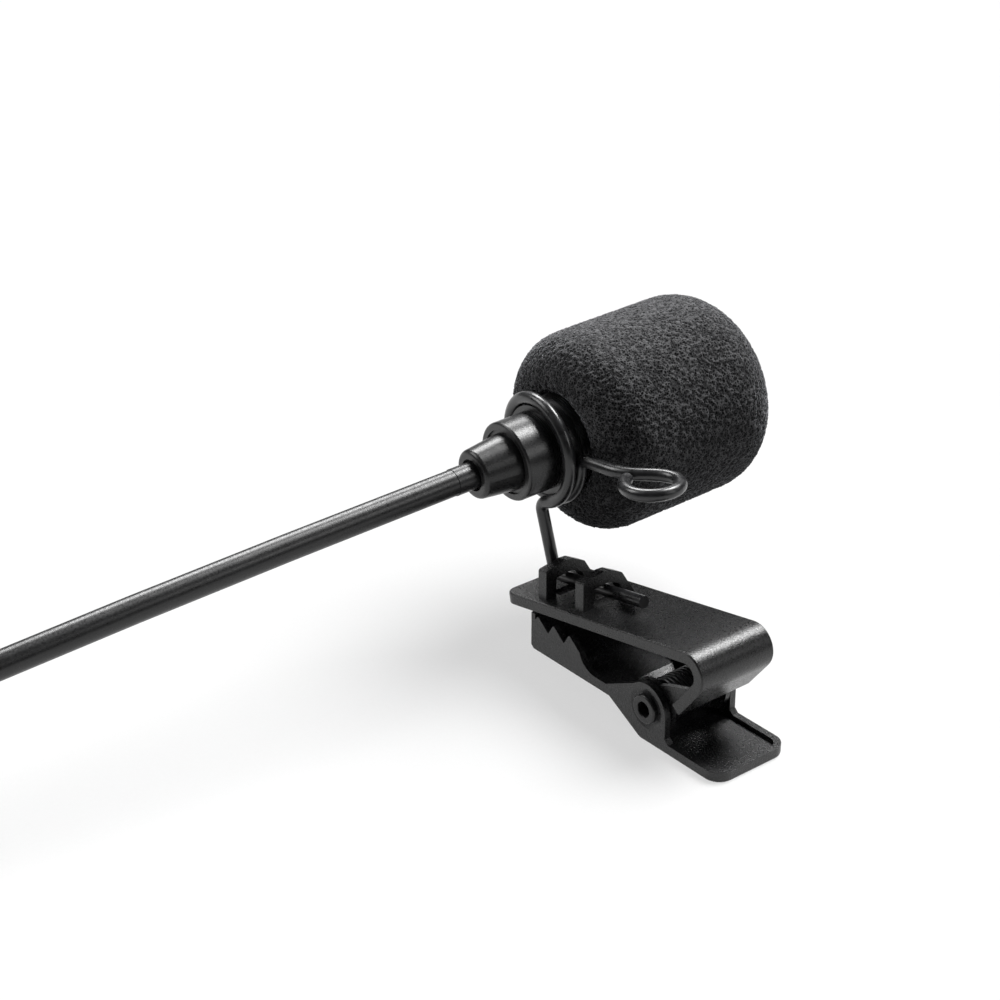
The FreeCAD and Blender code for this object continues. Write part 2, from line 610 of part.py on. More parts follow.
def microphone():
    """Every turned piece of the microphone, from the grille back to the cable's entry."""
    capsule_s, capsule_end_s = CAPSULE_SPAN
    gasket_s = capsule_end_s + GASKET_GAP
    mesh_end_s = GRILLE_END_S - GRILLE_FACE_T
    board_s = capsule_s - BOARD_T
    crimp_s = REAR_WALL + BOOT_FLANGE_T + CRIMP_GAP
    entry = BOOT_INSET - BOOT_LEN
    pieces = {
        "mic_barrel": mic_barrel(),
        "mic_collar_ring": collar_ring(),
        "mic_head_tube": head_tube(),
        "grille_cap": grille_cap(),
        "grille_mesh": tube(mesh_end_s - MESH_T, mesh_end_s, MESH_R),
        "capsule_gasket": tube(gasket_s, gasket_s + GASKET_T, *GASKET_R),
        "electret_capsule": electret_capsule(),
        "capsule_board": tube(board_s, capsule_s, BOARD_R),
        "strain_relief_boot": strain_relief_boot(),
        "cable_stub": tube(entry, STUB_END_S, CABLE_R),
        "cable_crimp": tube(crimp_s, STUB_END_S - CRIMP_GAP, CRIMP_R, CABLE_R),
        "cable_sleeve": tube(-BOOT_LEN - SLEEVE_LEN, entry, SLEEVE_R),
    }
    for name, x in (("signal_lead", -LEAD_WIRE_X), ("ground_lead", LEAD_WIRE_X)):
        pieces[name] = Part.makeCylinder(LEAD_WIRE_R, board_s - STUB_END_S, V(x, STUB_END_S, 0), Y_AXIS)
    for name, shape in pieces.items():
        emit(name, in_mic_frame(shape))


def foam_windscreen():
    """Round-ended foam cylinder with a blind bore; its mouth is rolled in round the collar."""
    back_flat = FOAM_R - FOAM_BACK_ROUND
    front_flat = FOAM_R - FOAM_FRONT_ROUND
    diagonal = math.sqrt(0.5)
    back_c = FOAM_BACK_S + FOAM_BACK_ROUND
    front_c = FOAM_FRONT_S - FOAM_FRONT_ROUND
    back_mid = V(back_flat + FOAM_BACK_ROUND * diagonal, back_c - FOAM_BACK_ROUND * diagonal, 0)
    front_mid = V(front_flat + FOAM_FRONT_ROUND * diagonal, front_c + FOAM_FRONT_ROUND * diagonal, 0)
    corners = [V(0, FOAM_FRONT_S, 0), V(0, FOAM_BORE_END_S, 0), V(FOAM_BORE_R, FOAM_BORE_END_S, 0),
               V(FOAM_BORE_R, FOAM_MOUTH_S, 0), V(FOAM_MOUTH_R, FOAM_MOUTH_S, 0),
               V(back_flat, FOAM_BACK_S, 0)]
    edges = [Part.LineSegment(a, b) for a, b in zip(corners, corners[1:])]
    edges.append(Part.Arc(corners[-1], back_mid, V(FOAM_R, back_c, 0)))
    edges.append(Part.LineSegment(V(FOAM_R, back_c, 0), V(FOAM_R, front_c, 0)))
    edges.append(Part.Arc(V(FOAM_R, front_c, 0), front_mid, V(front_flat, FOAM_FRONT_S, 0)))
    edges.append(Part.LineSegment(V(front_flat, FOAM_FRONT_S, 0), corners[0]))
    face = Part.Face(Part.Wire([e.toShape() for e in edges]))
    return face.revolve(ORIGIN, Y_AXIS, 360)


# ---------------------------------------------------------------- cable and plug

def coil_centre():
    """Middle of the coil; the cable comes in along its -X side."""
    entry = CABLE_ROUTE[-1]
    return V(entry.x + coil_outer_turn(), entry.y, 0)


def coil_outer_turn():
    """Radius of the middle of the coil's outermost turn."""
    return COIL_R + CABLE_D * (COIL_TURNS_WIDE - 1) / 2


def cord_tube(points):
    """A plain round tube along a route, its arcs as large as the runs allow."""
    path = rounded_path(points, [None] * (len(points) - 2))
    print("cord run", round(path.Length, 1), "mm")
    return swept_wire(path, points[0], points[1] - points[0], CABLE_R)


def cable_coil():
    """The spare cable as one plain ring, its turns taken together."""
    half = CABLE_D * COIL_TURNS_WIDE / 2
    height = CABLE_D * COIL_LAYERS
    ring = Part.makeCylinder(COIL_R + half, height).cut(Part.makeCylinder(COIL_R - half, height))
    ring = ring.makeFillet(COIL_EDGE_R, [e for e in ring.Edges if isinstance(e.Curve, Part.Circle)])
    ring.translate(coil_centre() + V(0, 0, TIE_T))
    return ring


def cable_tie():
    """Strap round the bundle of turns."""
    half = CABLE_D * COIL_TURNS_WIDE / 2
    height = CABLE_D * COIL_LAYERS

    def bundle(grow):
        outer = Part.makeCylinder(COIL_R + half + grow, height + 2 * grow, V(0, 0, TIE_T - grow))
        return outer.cut(Part.makeCylinder(COIL_R - half - grow, height + 2 * grow, V(0, 0, TIE_T - grow)))

    strap = bundle(TIE_T).cut(bundle(0))
    strap = strap.common(Part.makeBox(2 * COIL_R, TIE_W, 2 * height, V(0, -TIE_W / 2, 0)))
    strap.rotate(ORIGIN, Z_AXIS, TIE_DEG)
    strap.translate(coil_centre())
    return strap


def plug_strain_relief():
    """Tapered sleeve behind the plug, with grooves that let it flex."""
    start_r, end_r = PLUG_RELIEF_R
    relief = turned([(0, 0), (0, start_r), (PLUG_RELIEF_LEN, end_r), (PLUG_RELIEF_LEN, 0)])
    for i in range(PLUG_GROOVE_COUNT):
        s = PLUG_GROOVE_START + PLUG_GROOVE_PITCH * i
        relief = relief.cut(tube(s, s + PLUG_GROOVE_W, PLUG_BARREL_R, PLUG_GROOVE_R))
    return relief


def plug_barrel(start, end):
    """Plain handle of the plug."""
    barrel = tube(start, end, PLUG_BARREL_R)

    def is_rim(edge):
        return circle_at(edge, start, PLUG_BARREL_R) or circle_at(edge, end, PLUG_BARREL_R)

    return round_edges(barrel, is_rim, PLUG_BARREL_EDGE_R)


def plug_and_lead():
    """The lead from the coil and the jack plug at its end, lying on the floor."""
    top_z = TIE_T + CABLE_D * (COIL_LAYERS - 0.5)
    route = [coil_centre() + V(COIL_R, 0, top_z)]
    route += [route[0] + V(x, y, z - top_z) for x, y, z in LEAD_STEPS]
    emit("plug_lead", cord_tube(route))
    base = route[-1]
    run = base - route[-2]
    aim = V(run.x, run.y, 0).normalize()
    turn = math.degrees(math.atan2(-aim.x, aim.y))
    pin_start = PLUG_RELIEF_LEN + PLUG_BARREL_LEN
    tip = turned([(TIP_PROFILE[0][0], 0)] + list(TIP_PROFILE) + [(TIP_PROFILE[-1][0], 0)])
    tip.translate(V(0, pin_start, 0))
    pieces = {
        "plug_strain_relief": plug_strain_relief(),
        "plug_barrel": plug_barrel(PLUG_RELIEF_LEN, pin_start),
        "plug_tip": tip,
    }
    for name, s0, s1 in PIN_SPANS:
        pieces[name] = tube(pin_start + s0, pin_start + s1, PIN_R)
    for name, shape in pieces.items():
        shape.rotate(ORIGIN, Z_AXIS, turn)
        shape.translate(base)
        emit(name, shape)
    print("pin starts at", base + aim * pin_start, "and points along", aim)


def main():
    """Builds every sub-part and writes it as its own STEP file."""
    emit("clip_plate", clip_plate())
    emit("clip_jaw", clip_jaw())
    emit("pivot_rivet", pivot_rivet())
    emit("torsion_spring", torsion_spring())
    emit("wire_holder", wire_holder())
    microphone()
    emit("foam_windscreen", in_mic_frame(foam_windscreen()))
    sleeve_end = mic_point(0, -BOOT_LEN - SLEEVE_LEN, 0)
    emit("cable", cord_tube([sleeve_end, mic_point(0, STRAIGHT_END_S, 0)] + list(CABLE_ROUTE)))
    emit("cable_coil", cable_coil())
    emit("cable_tie", cable_tie())
    plug_and_lead()
    os.makedirs("parts", exist_ok=True)
    for name, shape in parts.items():
        shape.exportStep("parts/" + name + ".step")
    print(len(parts), "sub-parts; mic axis", mic_point(0, 1, 0) - MIC_FACE)


main()
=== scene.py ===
"""Looks of a lavalier microphone on its clip: camera, studio, cord, foam and finishes.

Everything is in metres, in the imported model's own frame: the clip stands on z = 0, +X runs
along the clip to its thumb pad and +Y is the way the microphone faces.
"""

import logging
import math
from dataclasses import dataclass, field
from enum import Enum
from typing import Protocol

import bpy
import numpy as np
from mathutils import Matrix, Vector
from mathutils.kdtree import KDTree


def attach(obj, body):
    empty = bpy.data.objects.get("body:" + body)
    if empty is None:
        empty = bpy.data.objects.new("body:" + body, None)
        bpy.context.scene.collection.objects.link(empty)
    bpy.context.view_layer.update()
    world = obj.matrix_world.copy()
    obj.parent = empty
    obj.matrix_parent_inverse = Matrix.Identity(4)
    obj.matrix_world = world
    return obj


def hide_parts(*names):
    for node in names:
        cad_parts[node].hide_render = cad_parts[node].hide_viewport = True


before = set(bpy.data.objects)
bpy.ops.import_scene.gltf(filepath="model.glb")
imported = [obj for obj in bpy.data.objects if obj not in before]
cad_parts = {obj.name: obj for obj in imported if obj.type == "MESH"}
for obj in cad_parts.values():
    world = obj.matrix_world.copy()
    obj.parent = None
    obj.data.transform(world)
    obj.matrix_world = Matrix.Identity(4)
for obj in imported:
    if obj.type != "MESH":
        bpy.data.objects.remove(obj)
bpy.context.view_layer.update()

MM = 0.001
WHITE = (1.0, 1.0, 1.0)
# painted shade: the foam's colour darkens where this depth is large
PORE_DEPTH = "pore_shade"  # the foam mesh's attribute: how deep each point lies in a pore
LOG = logging.getLogger("lavalier")

Triple = tuple[float, float, float]
Pair = tuple[float, float]
Socket = bpy.types.NodeSocket


class Body(Enum):
    """The bodies that new pieces ride on."""

    MICROPHONE = "microphone"
    WINDSCREEN = "windscreen"


# ------------------------------------------------------------------ tools


def shade(colour: Triple, factor: float) -> Triple:
    """The colour made darker or lighter by a factor."""
    return tuple(min(1.0, channel * factor) for channel in colour)


def around(value: float, ends: Pair) -> Pair:
    """The two ends of a range about a value, given how far each lies from it."""
    return value + ends[0], value + ends[1]


def to_metres(point: Triple) -> Triple:
    """A point in millimetres, given in metres."""
    return tuple(value * MM for value in point)


class NodePad:
    """Adds and joins the nodes of one new material."""

    MIX_INPUTS = (0, 6, 7)  # the share and the two colours among a colour mix's inputs
    MIX_OUTPUT = 2
    MIDDLE: Pair = (0.35, 0.65)  # where a noise's values mostly lie

    def __init__(self, name: str) -> None:
        """Starts a material that holds one Principled shader.

        Args:
            name: the material's name.
        """
        self.material = bpy.data.materials.new(name)
        self.material.use_nodes = True
        self.tree = self.material.node_tree
        self.shader = self.tree.nodes["Principled BSDF"]
        self.place = self.add("ShaderNodeTexCoord")

    def add(self, kind: str, **values: object) -> bpy.types.Node:
        """Adds a node and sets its inputs or properties by name.

        Args:
            kind: the node's class name.
            **values: property names, or input names with spaces written as underscores.

        Returns:
            The new node.
        """
        node = self.tree.nodes.new(kind)
        for key, value in values.items():
            if hasattr(node, key):
                setattr(node, key, value)
            else:
                node.inputs[key.replace("_", " ")].default_value = value
        return node

    def join(self, start: Socket, end: Socket) -> None:
        """Joins one node's output to another's input."""
        self.tree.links.new(start, end)

    def stretched_place(self, scale: Triple) -> Socket:
        """Object coordinates with each axis stretched.

        Args:
            scale: the factor along each axis.

        Returns:
            The vector socket.
        """
        mapping = self.add("ShaderNodeMapping", Scale=scale)
        self.join(self.place.outputs["Object"], mapping.inputs["Vector"])
        return mapping.outputs["Vector"]

    def shades(self, value: Socket, colour: Triple, factors: Pair) -> Socket:
        """One colour, made darker and lighter as a value goes across a noise's middle.

        Args:
            value: what the colour follows.
            colour: the colour.
            factors: how dark it gets and how light.

        Returns:
            The colour socket.
        """
        return self.tint(value, shade(colour, factors[0]), shade(colour, factors[1]))

    def noise(self, size: float, detail: float = 3.0, rough: float = 0.6,
              vector: Socket | None = None) -> Socket:
        """Noise whose blotches are about the given size.

        Args:
            size: blotch size in metres.
            detail: octaves of finer noise.
            rough: how strong the finer octaves are.
            vector: where it is read; Object coordinates if left out.

        Returns:
            The value socket, about 0.3 to 0.7.
        """
        node = self.add("ShaderNodeTexNoise", Scale=1.0 / size, Detail=detail, Roughness=rough)
        self.join(vector or self.place.outputs["Object"], node.inputs["Vector"])
        return node.outputs["Fac"]

    def spread(self, value: Socket, low: float, high: float, limits: Pair = MIDDLE) -> Socket:
        """Maps a value onto another range.

        Args:
            value: what is mapped.
            low: what it gives at the first limit.
            high: what it gives at the second limit.
            limits: the values between which it goes from low to high.

        Returns:
            The value socket.
        """
        node = self.add("ShaderNodeMapRange", From_Min=limits[0], From_Max=limits[1], To_Min=low,
                        To_Max=high)
        self.join(value, node.inputs["Value"])
        return node.outputs["Result"]

    def tint(self, value: Socket, dark: Triple, light: Triple, limits: Pair = MIDDLE) -> Socket:
        """Colour that follows a value.

        Args:
            value: what the colour follows.
            dark: the colour at the first limit.
            light: the colour at the second limit.
            limits: the values between which it goes from dark to light.

        Returns:
            The colour socket.
        """
        ramp = self.add("ShaderNodeValToRGB")
        for stop, position, colour in zip(ramp.color_ramp.elements, limits, (dark, light)):
            stop.position = position
            stop.color = (*colour, 1.0)
        self.join(value, ramp.inputs["Fac"])
        return ramp.outputs["Color"]

    def mix(self, share: Socket | float, under: Socket | Triple, over: Socket | Triple,
            kind: str = "MIX") -> Socket:
        """Lays one colour over another.

        Args:
            share: how much of the upper colour shows.
            under: the lower colour.
            over: the upper colour.
            kind: the way they blend.

        Returns:
            The colour socket.
        """
        node = self.add("ShaderNodeMix", data_type="RGBA", blend_type=kind)
        for index, value in zip(self.MIX_INPUTS, (share, under, over)):
            if isinstance(value, Socket):
                self.join(value, node.inputs[index])
            elif isinstance(value, tuple):
                node.inputs[index].default_value = (*value, 1.0)
            else:
                node.inputs[index].default_value = value
        return node.outputs[self.MIX_OUTPUT]

    def bump(self, height: Socket, depth: float, strength: float = 1.0,
             under: Socket | None = None) -> Socket:
        """Surface relief from a height value.

        Args:
            height: the value that stands for height.
            depth: the height in metres of a value of 1.
            strength: how much of the relief shows.
            under: the normal of a coarser relief below this one.

        Returns:
            The normal socket.
        """
        node = self.add("ShaderNodeBump", Distance=depth, Strength=strength)
        self.join(height, node.inputs["Height"])
        if under is not None:
            self.join(under, node.inputs["Normal"])
        return node.outputs["Normal"]

    def feed(self, name: str, value: Socket) -> None:
        """Joins a value to the shader's socket of that name."""
        self.join(value, self.shader.inputs[name])

    def fix(self, **values: object) -> None:
        """Sets constants on the shader's own sockets, spaces written as underscores."""
        for key, value in values.items():
            self.shader.inputs[key.replace("_", " ")].default_value = value


class Finish(Protocol):
    """Anything that makes a material."""

    def make(self) -> bpy.types.Material:
        """Builds the material."""


Outfit = tuple[Finish, tuple[str, ...]]


# ------------------------------------------------------------------ finishes


@dataclass(frozen=True)
class GrainedPaint:
    """Satin black coating with a fine grain, faint blotches and dust-size glints.

    A glint's size is a share of the grain's.
    """

    name: str
    colour: Triple = (0.01, 0.01, 0.0105)
    roughness: float = 0.34
    grain: float = 0.12 * MM
    relief: float = 0.006 * MM
    glints: float = 2.2
    glint_size: float = 0.8
    glint_limits: Pair = (0.58, 0.72)
    blotch: float = 3.5 * MM
    blotch_shades: Pair = (0.85, 1.2)
    wear: Pair = (-0.07, 0.09)

    def make(self) -> bpy.types.Material:
        """Builds the material.

        Returns:
            The material.
        """
        pad = NodePad(self.name)
        fine = pad.noise(self.grain, detail=4.0, rough=0.7)
        broad = pad.noise(self.blotch, detail=2.0)
        speck = pad.noise(self.grain * self.glint_size, detail=1.0)
        body = pad.shades(broad, self.colour, self.blotch_shades)
        glint = pad.tint(speck, WHITE, (self.glints,) * 3, self.glint_limits)
        pad.feed("Base Color", pad.mix(1.0, body, glint, "MULTIPLY"))
        pad.feed("Roughness", pad.spread(fine, *around(self.roughness, self.wear)))
        pad.feed("Normal", pad.bump(fine, self.relief))
        pad.fix(Specular_IOR_Level=0.5)
        return pad.material


@dataclass(frozen=True)
class WireLacquer:
    """Glossy black lacquer on drawn wire, with faint draw lines and runs."""

    name: str
    colour: Triple = (0.012, 0.012, 0.013)
    roughness: float = 0.3
    run: float = 0.9 * MM
    run_relief: float = 0.012 * MM
    line: float = 0.09 * MM
    line_relief: float = 0.0015 * MM
    run_shades: Pair = (0.8, 1.5)
    wear: Pair = (-0.04, 0.1)

    def make(self) -> bpy.types.Material:
        """Builds the material.

        Returns:
            The material.
        """
        pad = NodePad(self.name)
        runs = pad.noise(self.run, detail=3.0)
        fine = pad.noise(self.line, detail=2.0)
        pad.feed("Base Color", pad.shades(runs, self.colour, self.run_shades))
        pad.feed("Roughness", pad.spread(runs, *around(self.roughness, self.wear)))
        coarse = pad.bump(runs, self.run_relief)
        pad.feed("Normal", pad.bump(fine, self.line_relief, under=coarse))
        pad.fix(Coat_Weight=0.15, Coat_Roughness=0.2)
        return pad.material


@dataclass(frozen=True)
class SoftMoulding:
    """Moulded rubber or plastic: satin, slightly wavy, with a fine skin texture."""

    name: str
    colour: Triple = (0.01, 0.01, 0.0105)
    roughness: float = 0.36
    skin: float = 0.16 * MM
    relief: float = 0.005 * MM
    wave: float = 4.0 * MM
    wave_relief: float = 0.03 * MM
    wave_shades: Pair = (0.85, 1.25)
    wear: Pair = (-0.06, 0.08)
    sheen: float = 0.0

    def make(self) -> bpy.types.Material:
        """Builds the material.

        Returns:
            The material.
        """
        pad = NodePad(self.name)
        skin = pad.noise(self.skin, detail=3.0, rough=0.65)
        wave = pad.noise(self.wave, detail=1.5)
        pad.feed("Base Color", pad.shades(wave, self.colour, self.wave_shades))
        pad.feed("Roughness", pad.spread(skin, *around(self.roughness, self.wear)))
        coarse = pad.bump(wave, self.wave_relief)
        pad.feed("Normal", pad.bump(skin, self.relief, under=coarse))
        pad.fix(Sheen_Weight=self.sheen, Sheen_Roughness=0.4)
        return pad.material


@dataclass(frozen=True)
class BareMetal:
    """Bare or plated metal with fine turning or drawing lines."""

    name: str
    colour: Triple
    roughness: float = 0.25
    line: float = 0.03 * MM
    stretch: Triple = (0.05, 1.0, 0.05)
    relief: float = 0.001 * MM
    tarnish: float = 1.6 * MM
    tarnish_shades: Pair = (0.8, 1.0)
    wear: Pair = (-0.06, 0.12)

    def make(self) -> bpy.types.Material:
        """Builds the material.

        Returns:
            The material.
        """
        pad = NodePad(self.name)
        along = pad.stretched_place(self.stretch)
        lines = pad.noise(self.line, detail=2.0, vector=along)
        tarnish = pad.noise(self.tarnish, detail=4.0)
        pad.feed("Base Color", pad.shades(tarnish, self.colour, self.tarnish_shades))
        pad.feed("Roughness", pad.spread(tarnish, *around(self.roughness, self.wear)))
        pad.feed("Normal", pad.bump(lines, self.relief))
        pad.fix(Metallic=1.0)
        return pad.material


@dataclass(frozen=True)
class OpenCellFoam:
    """Charcoal open-cell foam, with painted shade inside its pores and cells, and softly fringed with
    light.
    """

    name: str
    strut: Triple = (0.125, 0.125, 0.128)
    # painted shade: the near-black colour laid inside the cells and the pores
    pore_shade: Triple = (0.004, 0.004, 0.0045)
    cell: float = 0.25 * MM
    warp: float = 0.12 * MM
    strut_limits: Pair = (0.03, 0.26)
    # how much painted pore shade covers the deepest point of a pore
    full_pore_shade: float = 0.75
    tone: float = 2.4 * MM
    tone_shades: Pair = (0.85, 1.15)
    relief: float = 0.04 * MM
    fringe: Triple = (0.75, 0.76, 0.8)

    def make(self) -> bpy.types.Material:
        """Builds the material; the painted shade in the pores follows the mesh's own pore attribute.

        Returns:
            The material.
        """
        pad = NodePad(self.name)
        # the pore depth, read as the mask of the painted pore shade
        pores = pad.add("ShaderNodeAttribute", attribute_name=PORE_DEPTH)
        tone = pad.noise(self.tone, detail=3.0)
        strands = self.strands(pad)
        light = pad.shades(tone, self.strut, self.tone_shades)
        # painted shade: the cells between the struts take the near-black pore colour
        struts_and_cell_shade = pad.mix(strands, self.pore_shade, light)
        # painted shade: the deeper a pore is pressed, the more of the near-black pore colour covers it
        pore_shade_mask = pad.spread(pores.outputs["Fac"], 0.0, self.full_pore_shade, (0.0, 1.0))
        pad.feed("Base Color", pad.mix(pore_shade_mask, struts_and_cell_shade, self.pore_shade))
        pad.feed("Normal", pad.bump(strands, self.relief, strength=0.7))
        pad.fix(Roughness=0.95, Specular_IOR_Level=0.1, Sheen_Weight=0.8, Sheen_Roughness=0.3,
                Sheen_Tint=(*self.fringe, 1.0))
        return pad.material

    def strands(self, pad: NodePad) -> Socket:
        """The web of struts between the cells, bent a little; it places the painted cell shade and the
        relief.

        Args:
            pad: the material's nodes.

        Returns:
            The value socket: 1 on a strut and 0 inside a cell.
        """
        place = pad.place.outputs["Object"]
        stir = pad.add("ShaderNodeTexNoise", Scale=1.0 / (2.0 * self.cell), Detail=2.0)
        lean = pad.add("ShaderNodeVectorMath", operation="SCALE", Scale=self.warp)
        shaken = pad.add("ShaderNodeVectorMath", operation="ADD")
        webs = pad.add("ShaderNodeTexVoronoi", Scale=1.0 / self.cell, feature="DISTANCE_TO_EDGE")
        pad.join(place, stir.inputs["Vector"])
        pad.join(stir.outputs["Color"], lean.inputs[0])
        pad.join(place, shaken.inputs[0])
        pad.join(lean.outputs["Vector"], shaken.inputs[1])
        pad.join(shaken.outputs["Vector"], webs.inputs["Vector"])
        return pad.spread(webs.outputs["Distance"], 1.0, 0.0, self.strut_limits)


@dataclass(frozen=True)
class PrintedBoard:
    """Green solder mask over copper tracks."""

    name: str
    mask: Triple = (0.02, 0.16, 0.07)
    track: Triple = (0.008, 0.07, 0.03)
    pitch: float = 0.9 * MM
    track_limits: Pair = (0.06, 0.1)
    relief: float = 0.03 * MM

    def make(self) -> bpy.types.Material:
        """Builds the material.

        Returns:
            The material.
        """
        pad = NodePad(self.name)
        cells = pad.add("ShaderNodeTexVoronoi", Scale=1.0 / self.pitch, feature="DISTANCE_TO_EDGE")
        pad.join(pad.place.outputs["Object"], cells.inputs["Vector"])
        tracks = cells.outputs["Distance"]
        pad.feed("Base Color", pad.tint(tracks, self.mask, self.track, self.track_limits))
        pad.feed("Normal", pad.bump(tracks, self.relief))
        pad.fix(Roughness=0.3)
        return pad.material


# ------------------------------------------------------------------ camera and studio


@dataclass
class Camera:
    """The view's camera, turned about the clip."""

    place: Triple = (133.02 * MM, -129.46 * MM, 119.15 * MM)
    azimuth: float = 51.086
    elevation: float = 27.221
    lens: float = 82.72
    sensor: float = 36.0
    near: float = 0.005

    def make(self) -> None:
        """Adds the camera and makes it the scene's."""
        data = bpy.data.cameras.new("camera")
        data.lens = self.lens
        data.sensor_width = self.sensor
        data.clip_start = self.near
        eye = bpy.data.objects.new("camera", data)
        eye.location = self.place
        eye.rotation_euler = (math.radians(90.0 - self.elevation), 0.0, math.radians(self.azimuth))
        bpy.context.collection.objects.link(eye)
        bpy.context.scene.camera = eye


class Lights(Enum):
    """What a light falls on."""

    OBJECT = "everything but the paper"
    PAPER = "the paper alone"


@dataclass(frozen=True)
class SoftBox:
    """One square soft light on the object: where it stands, how wide it is and its power in watts."""

    name: str
    place: Triple
    size: float
    power: float


@dataclass(frozen=True)
class PaperSun:
    """An even light on the paper: the side it comes from, its spread in degrees and its strength."""

    name: str
    place: Triple
    spread: float
    strength: float
    casts_shadow: bool


@dataclass
class Studio:
    """White paper in a white room, and soft boxes that leave the room's reflections dim."""

    floor_size: float = 6.0
    sky: float = 0.08
    ground: float = 0.02
    haze: Pair = (-0.2, 0.9)
    paper: Triple = (0.95, 0.95, 0.95)
    bounce: float = 0.35
    fibre: float = 0.4 * MM
    fibre_shades: Pair = (0.99, 1.0)
    aim: Triple = (-0.01, 0.0, 0.012)
    boxes: tuple[SoftBox, ...] = (
        SoftBox("top_light", (-0.06, 0.38, 0.58), 0.24, 6.4),
        SoftBox("left_light", (-0.46, 0.22, 0.48), 0.26, 3.6),
        SoftBox("right_light", (0.55, 0.30, 0.40), 0.25, 0.7),
        SoftBox("rim_light", (-0.44, -0.34, 0.42), 0.3, 1.8),
    )
    suns: tuple[PaperSun, ...] = (
        PaperSun("paper_shade", (0.06, 0.38, 0.58), 42.0, 1.5, True),
        PaperSun("paper_wash", (0.0, 0.0, 1.0), 1.0, 2.0, False),
    )
    receivers: dict[Lights, bpy.types.Collection] = field(default_factory=dict)

    def make(self) -> None:
        """Adds the floor, the surroundings and the lights."""
        bpy.context.scene.view_settings.view_transform = "Standard"
        self.add_floor()
        self.add_world()
        for box in self.boxes:
            data = bpy.data.lights.new(box.name, "AREA")
            data.size = box.size
            data.energy = box.power
            self.hang(data, box.place, Lights.OBJECT)
        for sun in self.suns:
            data = bpy.data.lights.new(sun.name, "SUN")
            data.angle = math.radians(sun.spread)
            data.energy = sun.strength
            data.use_shadow = sun.casts_shadow
            self.hang(data, sun.place, Lights.PAPER)

    def hang(self, data: bpy.types.Light, place: Triple, lights: Lights) -> None:
        """Hangs one light and aims it at the microphone.

        Args:
            data: the light.
            place: where it hangs.
            lights: what it falls on.
        """
        lamp = bpy.data.objects.new(data.name, data)
        lamp.location = place
        aim = Vector(self.aim) - Vector(place)
        lamp.rotation_euler = aim.to_track_quat("-Z", "Y").to_euler()
        lamp.light_linking.receiver_collection = self.receivers[lights]
        bpy.context.collection.objects.link(lamp)

    def add_floor(self) -> None:
        """Adds the paper that the clip stands on, and notes which lights reach it."""
        bpy.ops.object.select_all(action="DESELECT")
        bpy.ops.mesh.primitive_plane_add(size=self.floor_size)
        floor = bpy.context.object
        floor.name = "paper_floor"
        floor.data.materials.append(self.paper_material())
        for lights in Lights:
            group = bpy.data.collections.new(lights.value)
            group.objects.link(floor)
            self.receivers[lights] = group
        self.receivers[Lights.OBJECT].collection_objects[0].light_linking.link_state = "EXCLUDE"

    def paper_material(self) -> bpy.types.Material:
        """White paper that gives little light back to the object.

        Returns:
            The material.
        """
        pad = NodePad("white_paper")
        fibre = pad.noise(self.fibre, detail=2.0)
        ray = pad.add("ShaderNodeLightPath")
        white = pad.shades(fibre, self.paper, self.fibre_shades)
        dim = shade(self.paper, self.bounce)
        pad.feed("Base Color", pad.mix(ray.outputs["Is Diffuse Ray"], white, dim))
        pad.fix(Roughness=0.9, Specular_IOR_Level=0.1)
        return pad.material

    def add_world(self) -> None:
        """Shows a white room to the camera, and a sky that is dim low down to the object."""
        world = bpy.data.worlds.new("white_room")
        world.use_nodes = True
        tree = world.node_tree
        place = tree.nodes.new("ShaderNodeTexCoord")
        split = tree.nodes.new("ShaderNodeSeparateXYZ")
        fade = tree.nodes.new("ShaderNodeMapRange")
        fade.inputs["From Min"].default_value = self.haze[0]
        fade.inputs["From Max"].default_value = self.haze[1]
        fade.inputs["To Min"].default_value = self.ground
        fade.inputs["To Max"].default_value = self.sky
        ray = tree.nodes.new("ShaderNodeLightPath")
        seen = tree.nodes.new("ShaderNodeMath")
        seen.operation = "MAXIMUM"
        tree.links.new(place.outputs["Generated"], split.inputs["Vector"])
        tree.links.new(split.outputs["Z"], fade.inputs["Value"])
        tree.links.new(fade.outputs["Result"], seen.inputs[0])
        tree.links.new(ray.outputs["Is Camera Ray"], seen.inputs[1])
        tree.links.new(seen.outputs["Value"], tree.nodes["Background"].inputs["Strength"])
        tree.nodes["Background"].inputs["Color"].default_value = (*WHITE, 1.0)
        bpy.context.scene.world = world


# ------------------------------------------------------------------ cord


